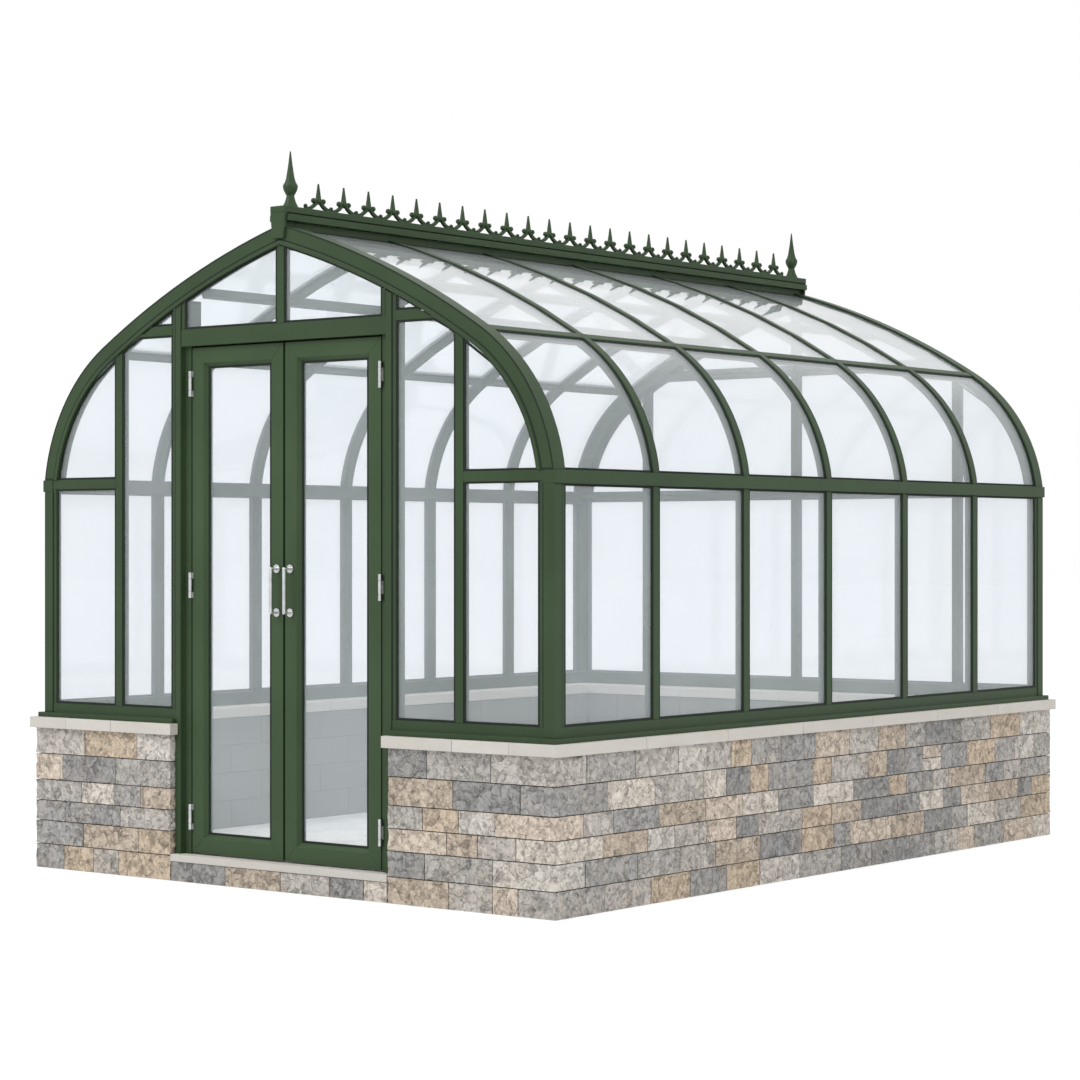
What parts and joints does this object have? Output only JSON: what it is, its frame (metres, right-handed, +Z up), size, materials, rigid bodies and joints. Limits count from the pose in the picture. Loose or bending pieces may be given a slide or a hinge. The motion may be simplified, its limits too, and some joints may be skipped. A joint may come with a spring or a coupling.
{
  "type": "glass greenhouse",
  "caption": "Curved-eave glass greenhouse with a green metal frame on a dwarf stone wall, ridge cresting with finials, and a pair of hinged glazed doors.",
  "frame": {"origin": "bottom centre of the stone base, on the ground", "axes": "+Z up; -Y towards the doors; +X to the right of someone facing the doors"},
  "size_m": [2.86, 3.92, 2.9667],
  "materials": {
    "green_paint": "satin",
    "glass": "clear",
    "walling_stone": "split face",
    "coping_stone": "sawn",
    "paving": "honed",
    "satin_steel": "satin"
  },
  "bodies": {
    "building": {"floor_slab": "paving", "front_walls": "walling_stone", "left_wall": "walling_stone", "right_wall": "walling_stone", "rear_wall": "walling_stone", "step_course": "walling_stone", "threshold_stone": "coping_stone", "front_copings": "coping_stone", "side_copings": "coping_stone", "rear_coping": "coping_stone", "front_sills": "green_paint", "side_sills": "green_paint", "rear_sill": "green_paint", "corner_posts": "green_paint", "front_mullions": "green_paint", "rear_mullions": "green_paint", "left_mullions": "green_paint", "right_mullions": "green_paint", "eaves_beams": "green_paint", "front_transoms": "green_paint", "rear_transoms": "green_paint", "door_jambs": "green_paint", "door_head": "green_paint", "front_gable_bends": "green_paint", "front_gable_rafters": "green_paint", "rear_gable_bends": "green_paint", "rear_gable_rafters": "green_paint", "left_bent_ribs": "green_paint", "right_bent_ribs": "green_paint", "left_roof_bars": "green_paint", "right_roof_bars": "green_paint", "left_purlins": "green_paint", "right_purlins": "green_paint", "ridge_board": "green_paint", "ridge_moulding": "green_paint", "ridge_cresting": "green_paint", "ridge_finials": "green_paint", "left_wall_glass": "glass", "right_wall_glass": "glass", "left_curved_glass": "glass", "right_curved_glass": "glass", "left_roof_glass": "glass", "right_roof_glass": "glass", "front_glass": "glass", "rear_glass": "glass", "jamb_hinges": "satin_steel"},
    "left_door": {"left_door_leaf": "green_paint", "left_door_glass": "glass", "left_door_handle": "satin_steel", "left_door_hinges": "satin_steel"},
    "right_door": {"right_door_leaf": "green_paint", "right_door_glass": "glass", "right_door_handle": "satin_steel", "right_door_hinges": "satin_steel"}
  },
  "joints": [
    {"name": "left_door_swing", "type": "hinge", "parent": "building", "child": "left_door", "pos_m": [-0.519, -1.899, 1.155], "axis": [0, 0, -1], "range_deg": [0, 90]},
    {"name": "right_door_swing", "type": "hinge", "parent": "building", "child": "right_door", "pos_m": [0.519, -1.899, 1.155], "axis": [0, 0, 1], "range_deg": [0, 90]}
  ]
}
